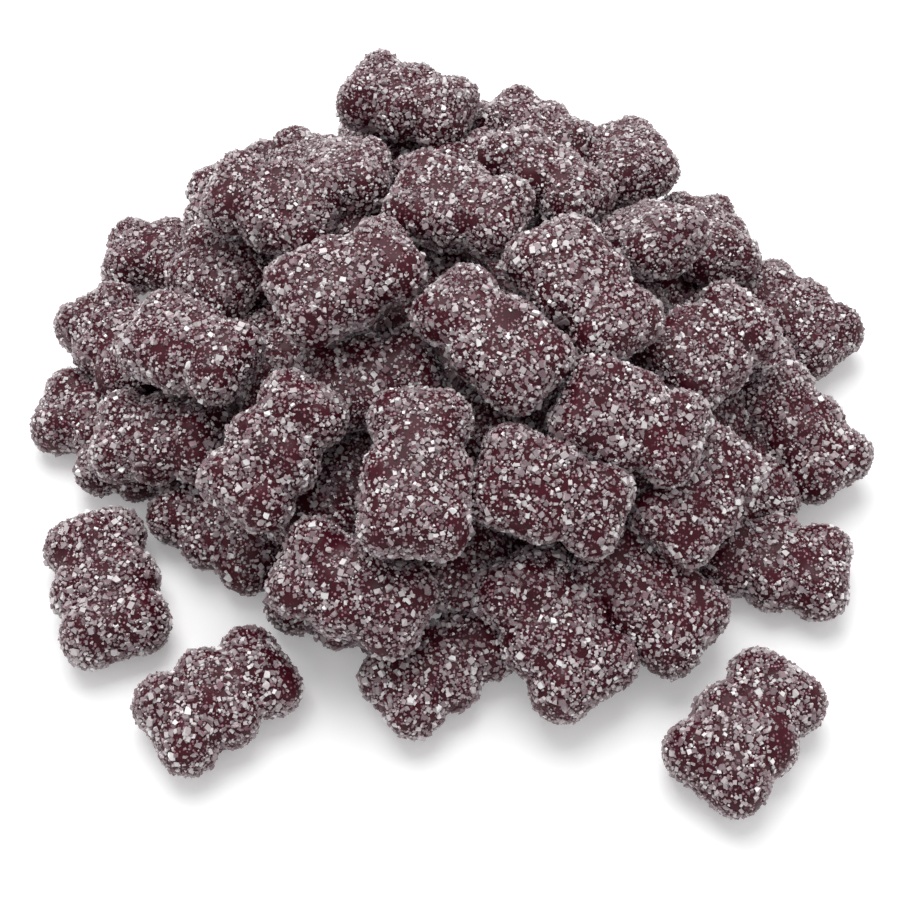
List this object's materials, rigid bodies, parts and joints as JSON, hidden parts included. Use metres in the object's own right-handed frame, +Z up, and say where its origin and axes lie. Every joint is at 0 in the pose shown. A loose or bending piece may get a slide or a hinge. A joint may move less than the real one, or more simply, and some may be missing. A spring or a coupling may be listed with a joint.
{
  "type": "gummy bears",
  "caption": "Low heap of dark, sugar-coated gummy bears, with loose bears lying in front of it.",
  "frame": {"origin": "on the surface that the bears lie on, under the middle of the heap", "axes": "+Z up; -Y towards the loose bears in front; +X to the right seen from the front"},
  "size_m": [0.1225, 0.1227, 0.0372],
  "materials": {
    "sugared_jelly": "dark wine-red jelly under a coat of coarse white sugar crystals"
  },
  "bodies": {
    "root": {"bear_heap": "sugared_jelly", "bear_left": "sugared_jelly", "bear_front_left": "sugared_jelly", "bear_front_right": "sugared_jelly"}
  },
  "joints": []
}
